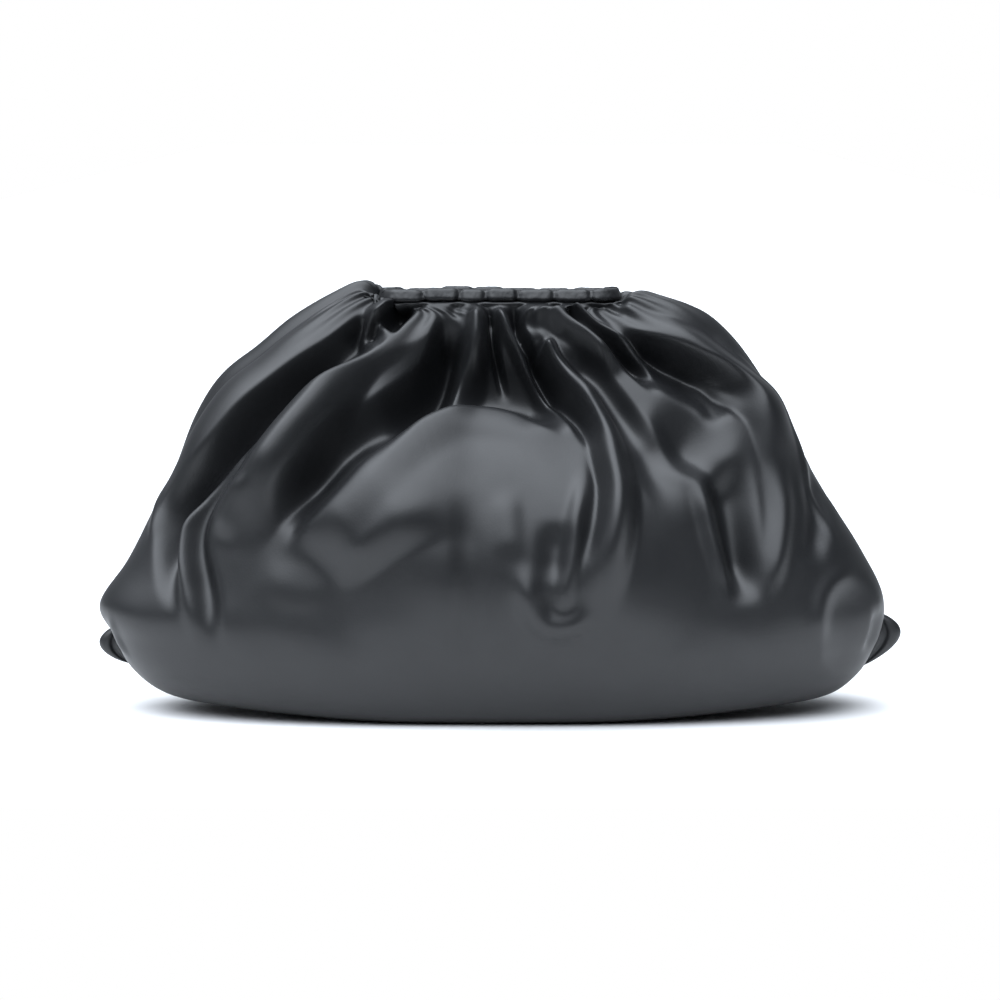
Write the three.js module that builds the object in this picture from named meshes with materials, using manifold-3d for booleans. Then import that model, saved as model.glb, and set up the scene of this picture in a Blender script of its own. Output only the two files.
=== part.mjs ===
// A closed leather pouch clutch, with no strap. Its mouth is gathered on a looped frame, and the
// leather hangs from it in deep pleats over a round belly that stands on a flat base.
// Two panels meet at a seam that runs down both sides and along the base, the frame lies inside two
// ruched casings, and a folded corner sticks out of the seam low on each side.
// Millimetres. X runs along the mouth, the front faces -Y, +Z is up, and the base stands on z = 0.

import * as THREE from "three";
import { mergeVertices } from "three/addons/utils/BufferGeometryUtils.js";
import Module from "manifold-3d";

const wasm = await Module();
wasm.setup();

// The bag
const BODY_WIDTH = 390;
const BODY_DEPTH = 150;
const BODY_HEIGHT = 207;
const LEATHER = 2.2;
const GAP = 0.3;

// The mouth: the slit between the casings, and the loop of the frame inside them
const MOUTH_LENGTH = 116;
const SLIT_WIDTH = 5;
const CASING_DEPTH = 8;
const CASING_HEIGHT = 6.4;
const FRAME_THICKNESS = 2;
const FRAME_HEIGHT = 3.2;
const FRAME_CLEARANCE = 0.3;
const SKIRT_MARGIN = 4;
const RUCHE_PINCH = 1.1;
const RUCHE_CREASE = 2.2;

// The side seam, and the corners that stick out of it
const SEAM_VALLEY_DEPTH = 3.5;
const SEAM_VALLEY_WIDTH = 11;
const NOTCH_DEPTH = 8;
const NOTCH_WIDTH = 10;
const EAR_HEIGHT = 26;
const EAR_THICKNESS = 9;
const LEFT_EAR_REACH = 22;
const RIGHT_EAR_REACH = 27;
const EAR_CLEARANCE = 0.5;

// How high folds stop above the base, and how near the seam
const FOLD_START_HEIGHT = 4;
const FOLD_FULL_HEIGHT = 26;
const FOLD_SEAM_MARGIN = 0.1;

const halfWidth = BODY_WIDTH / 2;
const halfDepth = BODY_DEPTH / 2;
const rimHeight = BODY_HEIGHT - CASING_HEIGHT - GAP;
const casingOffset = SLIT_WIDTH / 2 + CASING_DEPTH / 2;
const mouthReach = MOUTH_LENGTH / 2;
const straightReach = mouthReach - casingOffset - CASING_DEPTH / 2;

// The body's sections from the mouth to the seam under the base. Heights are shares of the body's
// height, depths of half its depth, reaches of half its width. The middle column gives the height of a
// section at the middle of the panel, and the side columns its ends on the seam. A larger square value
// makes a fuller plan outline.
const SECTION_COLUMNS = [
  "middle", "depth", "leftReach", "leftHeight", "rightReach", "rightHeight", "square",
];
const SECTIONS = [
  [0.935, 0.2, 0.35, 1.0, 0.36, 0.985, 2.3],
  [0.89, 0.3, 0.43, 0.985, 0.44, 0.978, 2.0],
  [0.83, 0.41, 0.52, 0.93, 0.52, 0.95, 2.0],
  [0.76, 0.53, 0.608, 0.858, 0.588, 0.898, 2.1],
  [0.68, 0.65, 0.694, 0.778, 0.648, 0.82, 2.2],
  [0.592, 0.78, 0.762, 0.687, 0.708, 0.722, 2.3],
  [0.5, 0.88, 0.822, 0.578, 0.77, 0.608, 2.35],
  [0.405, 0.95, 0.884, 0.465, 0.838, 0.495, 2.4],
  [0.312, 0.99, 0.944, 0.355, 0.908, 0.39, 2.4],
  [0.225, 1.0, 1.01, 0.258, 0.965, 0.283, 2.4],
  [0.142, 0.97, 0.975, 0.176, 0.94, 0.182, 2.4],
  [0.068, 0.88, 0.925, 0.088, 0.905, 0.088, 2.4],
  [0.018, 0.76, 0.88, 0.028, 0.865, 0.024, 2.3],
  [0, 0.6, 0.805, 0, 0.795, 0, 2.2],
  [0, 0.4, 0.71, 0, 0.7, 0, 2.2],
  [0, 0.2, 0.615, 0, 0.61, 0, 2.2],
  [0, 0, 0.52, 0, 0.52, 0, 2.2],
];
const BASE_SECTIONS = 3;

// The folds. A path runs from the mouth down, across in shares of half the width and up in shares of
// the height. Rise is a share of half the depth, outwards when positive. Wide is the half width at the
// start and at the end of the path, in shares of half the width. Lean widens the fold on the left of the
// path, seen from the front, and steepens it on the right. Fade is the share of the length over which
// each end dies away.
const FRONT_FOLDS = [
  { name: "under_mouth_hollow", rise: -0.14, wide: [0.13, 0.13], lean: 0, fade: [0.3, 0.3],
    path: [[-0.15, 0.88], [0.02, 0.83], [0.16, 0.82]] },
  { name: "belly_dome", rise: 0.09, wide: [0.3, 0.3], lean: 0, fade: [0, 0],
    path: [[-0.12, 0.58], [0.02, 0.56], [0.15, 0.5]] },
  { name: "brow", rise: 0.1, wide: [0.06, 0.08], lean: -0.2, fade: [0.25, 0.3],
    path: [[-0.5, 0.4], [-0.4, 0.49], [-0.36, 0.57], [-0.29, 0.665], [-0.2, 0.71], [-0.05, 0.735],
      [0.1, 0.715], [0.22, 0.66]] },
  { name: "left_puff", rise: 0.12, wide: [0.12, 0.09], lean: 0, fade: [0, 0.5],
    path: [[-0.33, 0.99], [-0.5, 0.91], [-0.65, 0.78], [-0.75, 0.635], [-0.81, 0.475],
      [-0.84, 0.33]] },
  { name: "left_valley", rise: -0.17, wide: [0.055, 0.08], lean: 0, fade: [0.08, 0.4],
    path: [[-0.27, 0.965], [-0.4, 0.864], [-0.535, 0.735], [-0.66, 0.645], [-0.76, 0.52],
      [-0.8, 0.382], [-0.795, 0.27]] },
  { name: "left_roll", rise: 0.12, wide: [0.06, 0.09], lean: 0.2, fade: [0.1, 0.4],
    path: [[-0.29, 0.92], [-0.385, 0.83], [-0.5, 0.69], [-0.585, 0.589], [-0.65, 0.45]] },
  { name: "left_crescent", rise: -0.05, wide: [0.065, 0.07], lean: 0, fade: [0.2, 0.25],
    path: [[-0.585, 0.62], [-0.69, 0.58], [-0.745, 0.5], [-0.757, 0.41], [-0.74, 0.29],
      [-0.71, 0.2]] },
  { name: "long_dark_valley", rise: -0.21, wide: [0.075, 0.09], lean: 0, fade: [0.1, 0.45],
    path: [[-0.15, 0.94], [-0.25, 0.81], [-0.35, 0.68], [-0.41, 0.566], [-0.455, 0.48]] },
  { name: "pocket", rise: -0.12, wide: [0.045, 0.04], lean: 0, fade: [0, 0.25],
    path: [[-0.205, 1], [-0.25, 0.94], [-0.285, 0.9]] },
  { name: "pocket_lip", rise: 0.08, wide: [0.035, 0.04], lean: 0, fade: [0, 0.2],
    path: [[-0.15, 0.98], [-0.2, 0.94], [-0.255, 0.895], [-0.3, 0.89]] },
  { name: "pleat_valley_a", rise: -0.12, wide: [0.035, 0.06], lean: 0, fade: [0, 0.4],
    path: [[-0.09, 0.97], [-0.095, 0.91], [-0.11, 0.84], [-0.15, 0.77]] },
  { name: "pleat_b", rise: 0.08, wide: [0.035, 0.05], lean: 0, fade: [0, 0.4],
    path: [[-0.055, 0.98], [-0.05, 0.91], [-0.04, 0.83], [-0.03, 0.78]] },
  { name: "pleat_c", rise: 0.09, wide: [0.03, 0.04], lean: 0, fade: [0, 0.35],
    path: [[-0.01, 0.975], [0.012, 0.92], [0.062, 0.841], [0.112, 0.772], [0.155, 0.72]] },
  { name: "pleat_valley_c", rise: -0.1, wide: [0.03, 0.05], lean: 0, fade: [0, 0.3],
    path: [[0.02, 0.975], [0.04, 0.92], [0.087, 0.86], [0.132, 0.784], [0.19, 0.715]] },
  { name: "pleat_d", rise: 0.11, wide: [0.04, 0.05], lean: 0, fade: [0, 0.4],
    path: [[0.075, 0.98], [0.15, 0.94], [0.225, 0.876], [0.28, 0.814]] },
  { name: "long_ridge", rise: 0.12, wide: [0.045, 0.1], lean: 0, fade: [0.1, 0.4],
    path: [[0.107, 0.88], [0.155, 0.825], [0.212, 0.754], [0.262, 0.68], [0.295, 0.6],
      [0.31, 0.52], [0.3, 0.417], [0.262, 0.325], [0.2, 0.264]] },
  { name: "pleat_e", rise: 0.07, wide: [0.03, 0.04], lean: 0, fade: [0, 0.3],
    path: [[0.167, 0.97], [0.25, 0.922], [0.337, 0.871], [0.4, 0.814]] },
  { name: "right_valley", rise: -0.15, wide: [0.045, 0.075], lean: 0, fade: [0.1, 0.3],
    path: [[0.245, 0.94], [0.325, 0.9], [0.41, 0.853], [0.5, 0.795], [0.587, 0.737],
      [0.62, 0.68]] },
  { name: "right_shoulder", rise: 0.11, wide: [0.045, 0.08], lean: 0, fade: [0, 0.5],
    path: [[0.28, 0.985], [0.312, 0.945], [0.387, 0.915], [0.5, 0.869], [0.587, 0.8],
      [0.637, 0.726], [0.67, 0.623], [0.7, 0.52]] },
  { name: "right_bowl", rise: -0.09, wide: [0.12, 0.12], lean: 0, fade: [0, 0],
    path: [[0.36, 0.75], [0.46, 0.71]] },
  { name: "right_swell", rise: 0.05, wide: [0.07, 0.07], lean: 0, fade: [0.3, 0.3],
    path: [[0.262, 0.76], [0.35, 0.635], [0.475, 0.55], [0.52, 0.48]] },
  { name: "right_trough", rise: -0.1, wide: [0.085, 0.085], lean: 0, fade: [0.3, 0.35],
    path: [[0.587, 0.7], [0.625, 0.6], [0.635, 0.46], [0.63, 0.33]] },
  { name: "oval_dent", rise: -0.07, wide: [0.09, 0.09], lean: 0, fade: [0, 0],
    path: [[0.865, 0.3], [0.865, 0.13]] },
];
const BACK_FOLDS = [
  { name: "back_hollow", rise: -0.12, wide: [0.13, 0.13], lean: 0, fade: [0.3, 0.3],
    path: [[-0.12, 0.84], [0.12, 0.84]] },
  { name: "back_left_puff", rise: 0.1, wide: [0.1, 0.07], lean: 0, fade: [0, 0.5],
    path: [[-0.31, 0.98], [-0.5, 0.9], [-0.68, 0.74], [-0.78, 0.54], [-0.82, 0.38]] },
  { name: "back_left_valley", rise: -0.18, wide: [0.05, 0.05], lean: 0, fade: [0.1, 0.4],
    path: [[-0.24, 0.95], [-0.4, 0.82], [-0.55, 0.66], [-0.64, 0.48]] },
  { name: "back_left_roll", rise: 0.12, wide: [0.05, 0.07], lean: 0, fade: [0.05, 0.4],
    path: [[-0.17, 0.96], [-0.27, 0.82], [-0.38, 0.64], [-0.44, 0.46]] },
  { name: "back_middle_valley", rise: -0.15, wide: [0.035, 0.06], lean: 0, fade: [0.05, 0.4],
    path: [[-0.09, 0.96], [-0.13, 0.84], [-0.2, 0.7], [-0.22, 0.56]] },
  { name: "back_pleat_a", rise: 0.1, wide: [0.03, 0.045], lean: 0, fade: [0, 0.4],
    path: [[-0.02, 0.97], [-0.04, 0.86], [-0.06, 0.74]] },
  { name: "back_pleat_valley", rise: -0.14, wide: [0.03, 0.045], lean: 0, fade: [0, 0.4],
    path: [[0.04, 0.97], [0.05, 0.86], [0.06, 0.72], [0.04, 0.6]] },
  { name: "back_pleat_b", rise: 0.14, wide: [0.03, 0.055], lean: 0, fade: [0, 0.4],
    path: [[0.1, 0.97], [0.15, 0.86], [0.21, 0.72], [0.24, 0.55], [0.21, 0.4]] },
  { name: "back_right_valley", rise: -0.17, wide: [0.035, 0.055], lean: 0, fade: [0.05, 0.4],
    path: [[0.18, 0.95], [0.28, 0.84], [0.39, 0.7], [0.46, 0.54]] },
  { name: "back_right_ridge", rise: 0.12, wide: [0.045, 0.06], lean: 0, fade: [0, 0.5],
    path: [[0.27, 0.98], [0.41, 0.88], [0.55, 0.75], [0.64, 0.58], [0.67, 0.42]] },
  { name: "back_belly", rise: 0.06, wide: [0.3, 0.3], lean: 0, fade: [0, 0],
    path: [[-0.15, 0.45], [0.15, 0.45]] },
];

// Where the gathers pinch each casing, in shares of half the mouth's length
const FRONT_GATHERS = [-0.92, -0.64, -0.34, -0.12, 0.15, 0.45, 0.76];
const BACK_GATHERS = [-0.8, -0.5, -0.22, 0.04, 0.32, 0.6, 0.88];

// The grid of each panel: even columns with more of them beside the seam, and even rows with more of
// them between the rim and the first section
const FRONT_GRID = { columns: 54, rows: 27 };
const BACK_GRID = { columns: 34, rows: 21 };
const COLLAR_ROWS = 4;
const SEAM_COLUMNS = [0.35, 0.7];

const smoothStep = (x) => {
  const c = Math.min(Math.max(x, 0), 1);
  return c * c * (3 - 2 * c);
};

// The Catmull-Rom curve through rows of numbers, at a position counted in rows
function throughRows(rows, position) {
  const at = Math.min(Math.max(position, 0), rows.length - 1);
  const i = Math.min(Math.floor(at), rows.length - 2);
  const f = at - i;
  const before = rows[Math.max(i - 1, 0)];
  const after = rows[Math.min(i + 2, rows.length - 1)];
  return rows[i].map((p1, c) => {
    const p0 = before[c];
    const p2 = rows[i + 1][c];
    const p3 = after[c];
    return 0.5 * (2 * p1 + (p2 - p0) * f + (2 * p0 - 5 * p1 + 4 * p2 - p3) * f * f
      + (3 * p1 - p0 - 3 * p2 + p3) * f * f * f);
  });
}

// The rim under a casing and the skirt just outside it, as sections like those of the table
const collarRow = (depth, reach, square) => {
  const height = rimHeight / BODY_HEIGHT;
  return [height, depth / halfDepth, reach / halfWidth, height, reach / halfWidth, height, square];
};
const casingEdge = casingOffset + CASING_DEPTH / 2;
const sectionRows = [
  collarRow(casingEdge - LEATHER * 1.5, mouthReach - LEATHER, 3),
  collarRow(casingEdge + SKIRT_MARGIN, mouthReach + SKIRT_MARGIN, 4),
  ...SECTIONS,
];
const collarRows = 2;
const lastRow = sectionRows.length - 1;
const baseRow = lastRow - BASE_SECTIONS;

// A point of the plain body, before its folds. Side is -1 on the front and 1 on the back.
function bodyPoint(row, across, side) {
  const values = throughRows(sectionRows, row);
  const section = Object.fromEntries(SECTION_COLUMNS.map((name, i) => [name, values[i]]));
  const [reach, endHeight] = across < 0
    ? [section.leftReach, section.leftHeight]
    : [section.rightReach, section.rightHeight];
  const angle = (Math.PI / 2) * (0.82 * across + 0.18 * across ** 3);
  const power = 2 / section.square;
  const towardsEnd = Math.abs(Math.sin(angle)) ** 2.4;
  const height = section.middle * (1 - towardsEnd) + endHeight * towardsEnd;
  const x = halfWidth * reach * Math.sign(angle) * Math.abs(Math.sin(angle)) ** power;
  const depth = halfDepth * Math.max(section.depth, 0) * Math.abs(Math.cos(angle)) ** power;
  const z = row >= baseRow ? 0 : BODY_HEIGHT * Math.max(height, 0);
  return new THREE.Vector3(x, side * (depth + GAP / 2), z);
}

// The outward normal of the plain body
function bodyNormal(row, across, side) {
  const step = 1e-3;
  const down = bodyPoint(row + step, across, side).sub(bodyPoint(row - step, across, side));
  const right = bodyPoint(row, Math.min(across + step, 1), side)
    .sub(bodyPoint(row, Math.max(across - step, -1), side));
  const normal = down.cross(right).multiplyScalar(-side);
  if (Math.abs(across) === 1) normal.y = 0;
  return normal.normalize();
}

// A fold's path in millimetres, with the length run at each point
function foldPath(fold) {
  const points = fold.path.map(([across, up]) => [across * halfWidth, up * BODY_HEIGHT]);
  const steps = (points.length - 1) * 8;
  const path = Array.from({ length: steps + 1 }, (_, i) => throughRows(points, i / 8));
  const run = [0];
  for (let i = 1; i <= steps; i++) {
    run.push(run[i - 1] + Math.hypot(path[i][0] - path[i - 1][0], path[i][1] - path[i - 1][1]));
  }
  return { path, run };
}

// How far a fold lifts the leather at a place seen from the front
function foldRise(fold, { path, run }, x, z) {
  let nearest = { distance: Infinity, along: 0, leftHand: 1 };
  for (let i = 0; i + 1 < path.length; i++) {
    const length = run[i + 1] - run[i];
    const [dx, dz] = [(path[i + 1][0] - path[i][0]) / length, (path[i + 1][1] - path[i][1]) / length];
    const [rx, rz] = [x - path[i][0], z - path[i][1]];
    const t = Math.min(Math.max(rx * dx + rz * dz, 0), length);
    const distance = Math.hypot(rx - t * dx, rz - t * dz);
    if (distance < nearest.distance) {
      nearest = { distance, along: (run[i] + t) / run.at(-1), leftHand: Math.sign(dx * rz - dz * rx) };
    }
  }
  const [startWidth, endWidth] = fold.wide;
  const halfSpan = halfWidth * (startWidth + (endWidth - startWidth) * nearest.along);
  const away = nearest.distance / (halfSpan * (1 + fold.lean * nearest.leftHand));
  if (away >= 1) return 0;
  const [fadeIn, fadeOut] = fold.fade;
  const start = fadeIn > 0 ? smoothStep(nearest.along / fadeIn) : 1;
  const end = fadeOut > 0 ? smoothStep((1 - nearest.along) / fadeOut) : 1;
  return fold.rise * halfDepth * (1 - away * away) ** 2 * start * end;
}

// The height at the middle of a corner ear, on the seam
const earHeight = BODY_HEIGHT * 0.135;

// The groove along the seam, deepest where an ear comes out of it
function seamGroove(depthFromSeam, z) {
  const plain = SEAM_VALLEY_DEPTH * Math.exp(-((depthFromSeam / SEAM_VALLEY_WIDTH) ** 2));
  const nearEar = Math.exp(-(((z - earHeight) / (EAR_HEIGHT * 0.75)) ** 2));
  const notch = NOTCH_DEPTH * nearEar * Math.exp(-((depthFromSeam / NOTCH_WIDTH) ** 2));
  return (plain + notch) * smoothStep(z / FOLD_FULL_HEIGHT);
}

// The outside of a panel as a grid of points, with its folds
function panelGrid(folds, side, { columns, rows }) {
  const paths = folds.map(foldPath);
  const step = 2 / (columns - 1);
  const even = Array.from({ length: columns }, (_, i) => -1 + i * step);
  const extra = SEAM_COLUMNS.map((share) => -1 + share * step);
  const across = [...even, ...extra, ...extra.map((a) => -a)].sort((a, b) => a - b);
  return Array.from({ length: rows }, (_, r) => {
    const row = r <= COLLAR_ROWS
      ? (collarRows * r) / COLLAR_ROWS
      : collarRows + ((lastRow - collarRows) * (r - COLLAR_ROWS)) / (rows - 1 - COLLAR_ROWS);
    return across.map((a) => {
      const point = bodyPoint(row, a, side);
      const seamShare = smoothStep((1 - Math.abs(a)) / FOLD_SEAM_MARGIN);
      const floorShare = smoothStep((point.z - FOLD_START_HEIGHT) / (FOLD_FULL_HEIGHT - FOLD_START_HEIGHT));
      const rimShare = smoothStep((row - 1) / 2);
      const lift = folds.reduce((sum, fold, i) => sum + foldRise(fold, paths[i], point.x, point.z), 0);
      const groove = seamGroove(Math.abs(point.y), point.z) * smoothStep((row - 1) / 2);
      const away = lift * seamShare * floorShare * rimShare - groove;
      return point.addScaledVector(bodyNormal(row, a, side), away);
    });
  });
}

// The mean outward normal at each point of a grid
function gridNormals(grid, side) {
  const clamp = (i, n) => Math.min(Math.max(i, 0), n - 1);
  return grid.map((line, r) => line.map((_, c) => {
    const up = grid[clamp(r - 1, grid.length)][c];
    const down = grid[clamp(r + 1, grid.length)][c];
    const left = line[clamp(c - 1, line.length)];
    const right = line[clamp(c + 1, line.length)];
    const normal = down.clone().sub(up).cross(right.clone().sub(left)).multiplyScalar(-side);
    if (c === 0 || c === line.length - 1) normal.y = 0;
    if (r === grid.length - 1) normal.set(0, 0, -1);
    return normal.normalize();
  }));
}

// A mesh from its points and the numbers of the points of its triangles
function meshGeometry(points, triangles) {
  const places = points.flatMap((point) => point.toArray());
  const geometry = new THREE.BufferGeometry();
  geometry.setAttribute("position", new THREE.Float32BufferAttribute(places, 3));
  geometry.setIndex(triangles);
  return geometry;
}

// A closed sheet of leather under a grid of points
function sheetGeometry(grid, side, thickness) {
  const normals = gridNormals(grid, side);
  const rows = grid.length;
  const columns = grid[0].length;
  const inner = grid.map((line, r) => (
    line.map((p, c) => p.clone().addScaledVector(normals[r][c], -thickness))
  ));
  const points = [...grid.flat(), ...inner.flat()];
  const at = (layer, r, c) => layer * rows * columns + r * columns + c;
  const triangles = [];
  const quad = (a, b, c, d) => {
    const outwards = side < 0 ? [a, b, c, a, c, d] : [a, c, b, a, d, c];
    triangles.push(...outwards);
  };
  for (let r = 0; r + 1 < rows; r++) {
    for (let c = 0; c + 1 < columns; c++) {
      quad(at(0, r, c), at(0, r + 1, c), at(0, r + 1, c + 1), at(0, r, c + 1));
      quad(at(1, r, c), at(1, r, c + 1), at(1, r + 1, c + 1), at(1, r + 1, c));
    }
  }
  for (let c = 0; c + 1 < columns; c++) {
    quad(at(0, 0, c), at(0, 0, c + 1), at(1, 0, c + 1), at(1, 0, c));
    quad(at(0, rows - 1, c), at(1, rows - 1, c), at(1, rows - 1, c + 1), at(0, rows - 1, c + 1));
  }
  for (let r = 0; r + 1 < rows; r++) {
    quad(at(0, r, 0), at(1, r, 0), at(1, r + 1, 0), at(0, r + 1, 0));
    const edge = columns - 1;
    quad(at(0, r, edge), at(0, r + 1, edge), at(1, r + 1, edge), at(1, r, edge));
  }
  return meshGeometry(points, triangles);
}

// A closed solid through rings of points, capped at both ends, or joined end to end in a loop
function loftGeometry(rings, looped = false) {
  const count = rings[0].length;
  const points = rings.flat();
  const triangles = [];
  const last = looped ? rings.length : rings.length - 1;
  for (let r = 0; r < last; r++) {
    const next = (r + 1) % rings.length;
    for (let i = 0; i < count; i++) {
      const j = (i + 1) % count;
      triangles.push(r * count + i, r * count + j, next * count + j);
      triangles.push(r * count + i, next * count + j, next * count + i);
    }
  }
  if (!looped) {
    const end = (rings.length - 1) * count;
    for (let i = 1; i + 1 < count; i++) {
      triangles.push(0, i + 1, i);
      triangles.push(end, end + i, end + i + 1);
    }
  }
  return meshGeometry(points, triangles);
}

// The frame's loop seen from above: a place on it and the way it runs, for a share of one round.
// It starts at the right end and runs along the back, the left end and then the front.
function loopPlace(share) {
  const turn = Math.PI * casingOffset;
  const straight = 2 * straightReach;
  const along = (((share % 1) + 1) % 1) * 2 * (turn + straight) - turn / 2;
  const backwards = along > turn / 2 + straight;
  const here = backwards ? along - turn - straight : along;
  const flip = backwards ? -1 : 1;
  const half = straight / 2;
  if (here < turn / 2) {
    const angle = here / casingOffset;
    return {
      x: flip * (half + casingOffset * Math.cos(angle)),
      y: flip * casingOffset * Math.sin(angle),
      angle: angle + (backwards ? Math.PI : 0),
    };
  }
  return {
    x: flip * (half - (here - turn / 2)),
    y: flip * casingOffset,
    angle: Math.PI / 2 + (backwards ? Math.PI : 0),
  };
}

const casingMiddle = BODY_HEIGHT - CASING_HEIGHT / 2;

// A ring of points round a place on the loop, with a given shape of section
function loopRing(share, sides, halfThick, halfHigh, power) {
  const { x, y, angle } = loopPlace(share);
  return Array.from({ length: sides }, (_, i) => {
    const turn = (-2 * Math.PI * (i + 0.5)) / sides;
    const out = halfThick * Math.sign(Math.cos(turn)) * Math.abs(Math.cos(turn)) ** power;
    const up = halfHigh * Math.sign(Math.sin(turn)) * Math.abs(Math.sin(turn)) ** power;
    return new THREE.Vector3(x + out * Math.cos(angle), y + out * Math.sin(angle), casingMiddle + up);
  });
}

const asSolid = (geometry) => {
  const merged = mergeVertices(geometry, 1e-4);
  return new wasm.Manifold(new wasm.Mesh({
    numProp: 3,
    vertProperties: merged.getAttribute("position").array,
    triVerts: new Uint32Array(merged.index.array),
  }));
};

const asGeometry = (solid) => {
  const mesh = solid.getMesh();
  const geometry = new THREE.BufferGeometry();
  geometry.setAttribute("position", new THREE.BufferAttribute(mesh.vertProperties, 3));
  geometry.setIndex(new THREE.BufferAttribute(mesh.triVerts, 1));
  return geometry;
};

// The four corners of a bar round a place on the loop
const barRing = (share, thick, high) => loopRing(share, 4, thick / 2, high / 2, 0);

// A ruched casing over half of the loop, bored for the frame
function casingGeometry(gathers, side) {
  const from = side < 0 ? 0.5 : 0;
  const endGap = GAP / (4 * straightReach + 2 * Math.PI * casingOffset);
  const stations = 36;
  const rings = Array.from({ length: stations + 1 }, (_, i) => {
    const share = from + endGap + (0.5 - 2 * endGap) * (i / stations);
    const place = loopPlace(share);
    const crease = gathers.reduce((most, at) => {
      const away = (place.x - at * mouthReach) / RUCHE_CREASE;
      return Math.max(most, Math.exp(-away * away));
    }, 0);
    const pinch = RUCHE_PINCH * crease;
    return loopRing(share, 8, CASING_DEPTH / 2 - pinch, CASING_HEIGHT / 2 - pinch * 0.8, 0.7);
  });
  const boreStations = 24;
  const bore = Array.from({ length: boreStations + 1 }, (_, i) => {
    const share = from - endGap + (0.5 + 2 * endGap) * (i / boreStations);
    return barRing(share, FRAME_THICKNESS + 2 * FRAME_CLEARANCE, FRAME_HEIGHT + 2 * FRAME_CLEARANCE);
  });
  return asGeometry(asSolid(loftGeometry(rings)).subtract(asSolid(loftGeometry(bore))));
}

// The frame: one bar bent into a closed loop
function frameGeometry() {
  const stations = 48;
  const rings = Array.from({ length: stations }, (_, i) => (
    barRing(i / stations, FRAME_THICKNESS, FRAME_HEIGHT)
  ));
  return loftGeometry(rings, true);
}

const frontGrid = panelGrid(FRONT_FOLDS, -1, FRONT_GRID);
const backGrid = panelGrid(BACK_FOLDS, 1, BACK_GRID);

// How far out either panel's seam edge is at a height on the belly
function seamReach(z, end) {
  const reaches = [frontGrid, backGrid].map((grid) => {
    const edge = grid.map((line) => line.at(end < 0 ? 0 : -1));
    const below = edge.findIndex((point) => point.z <= z);
    const [upper, lower] = [edge[below - 1], edge[below]];
    const share = (upper.z - z) / (upper.z - lower.z);
    return Math.abs(upper.x + (lower.x - upper.x) * share);
  });
  return Math.max(...reaches);
}

// A folded corner of leather that comes out of the notch in the seam. Its rings lie level, from its
// foot to its top, and each is a drop with its root in the notch.
function earGeometry(end, reach) {
  const levels = 9;
  const sides = 8;
  const rings = Array.from({ length: levels }, (_, i) => {
    const share = i / (levels - 1);
    const z = earHeight + EAR_HEIGHT * (share - 0.5);
    const full = 0.3 + 0.7 * Math.sin(Math.PI * share) ** 0.6;
    const root = seamReach(z, end) + EAR_CLEARANCE;
    const length = reach * full * (1 - 0.25 * share);
    return Array.from({ length: sides }, (_, k) => {
      const turn = (2 * Math.PI * k) / sides;
      const out = (1 - Math.cos(turn)) / 2;
      const wide = Math.sin(turn) * EAR_THICKNESS * 0.5 * full * (0.35 + 0.65 * out);
      return new THREE.Vector3(end * (root + length * out), -end * wide, z);
    });
  });
  return loftGeometry(rings);
}

const finish = (name, color, roughness, metalness) => (
  new THREE.MeshStandardMaterial({ name, color, roughness, metalness })
);
const leather = (name) => finish(name, 0x232427, 0.42, 0);
const steel = finish("frame_steel", 0x8a8c90, 0.35, 1);

function namedMesh(name, geometry, material) {
  geometry.computeVertexNormals();
  const mesh = new THREE.Mesh(geometry, material);
  mesh.name = name;
  return mesh;
}

const pouch = new THREE.Group();
pouch.name = "pouch_clutch";

const body = new THREE.Group();
body.add(
  namedMesh("front_panel", sheetGeometry(frontGrid, -1, LEATHER), leather("body_leather")),
  namedMesh("back_panel", sheetGeometry(backGrid, 1, LEATHER), leather("body_leather")),
  namedMesh("left_corner_ear", earGeometry(-1, LEFT_EAR_REACH), leather("body_leather")),
  namedMesh("right_corner_ear", earGeometry(1, RIGHT_EAR_REACH), leather("body_leather")),
);

const mouth = new THREE.Group();
mouth.add(
  namedMesh("front_casing", casingGeometry(FRONT_GATHERS, -1), leather("casing_leather")),
  namedMesh("back_casing", casingGeometry(BACK_GATHERS, 1), leather("casing_leather")),
  namedMesh("closing_frame", frameGeometry(), steel),
);

pouch.add(body, mouth);

export default pouch;
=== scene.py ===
"""A closed leather pouch clutch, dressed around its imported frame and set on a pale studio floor.

The bag is two gathered panels that meet in a seam down both sides, two ruched casings over the frame
of the mouth, and a folded corner low on each side. Metres. X runs along the mouth, the front faces -Y,
and the bag stands on z = 0.
"""

import logging
import math
from dataclasses import astuple, dataclass
from enum import Enum

import bpy
import numpy as np
from bpy.types import Material, Node, NodeSocket, NodeTree, Object
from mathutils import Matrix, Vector


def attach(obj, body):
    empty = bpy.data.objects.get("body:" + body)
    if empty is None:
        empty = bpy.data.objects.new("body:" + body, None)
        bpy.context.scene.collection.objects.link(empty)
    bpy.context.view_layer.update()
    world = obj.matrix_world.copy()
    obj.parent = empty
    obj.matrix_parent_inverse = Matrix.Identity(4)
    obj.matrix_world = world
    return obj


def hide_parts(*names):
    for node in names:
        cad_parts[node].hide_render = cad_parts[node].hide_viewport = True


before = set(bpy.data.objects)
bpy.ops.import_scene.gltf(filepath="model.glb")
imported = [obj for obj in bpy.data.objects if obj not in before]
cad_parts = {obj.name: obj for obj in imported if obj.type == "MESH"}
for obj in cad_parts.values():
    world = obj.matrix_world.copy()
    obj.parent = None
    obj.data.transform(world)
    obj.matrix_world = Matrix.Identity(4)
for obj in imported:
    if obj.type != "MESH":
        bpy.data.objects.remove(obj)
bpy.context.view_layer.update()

log = logging.getLogger("pouch")

Colour = tuple[float, float, float]

MM = 0.001
BODY = "root"

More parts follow.
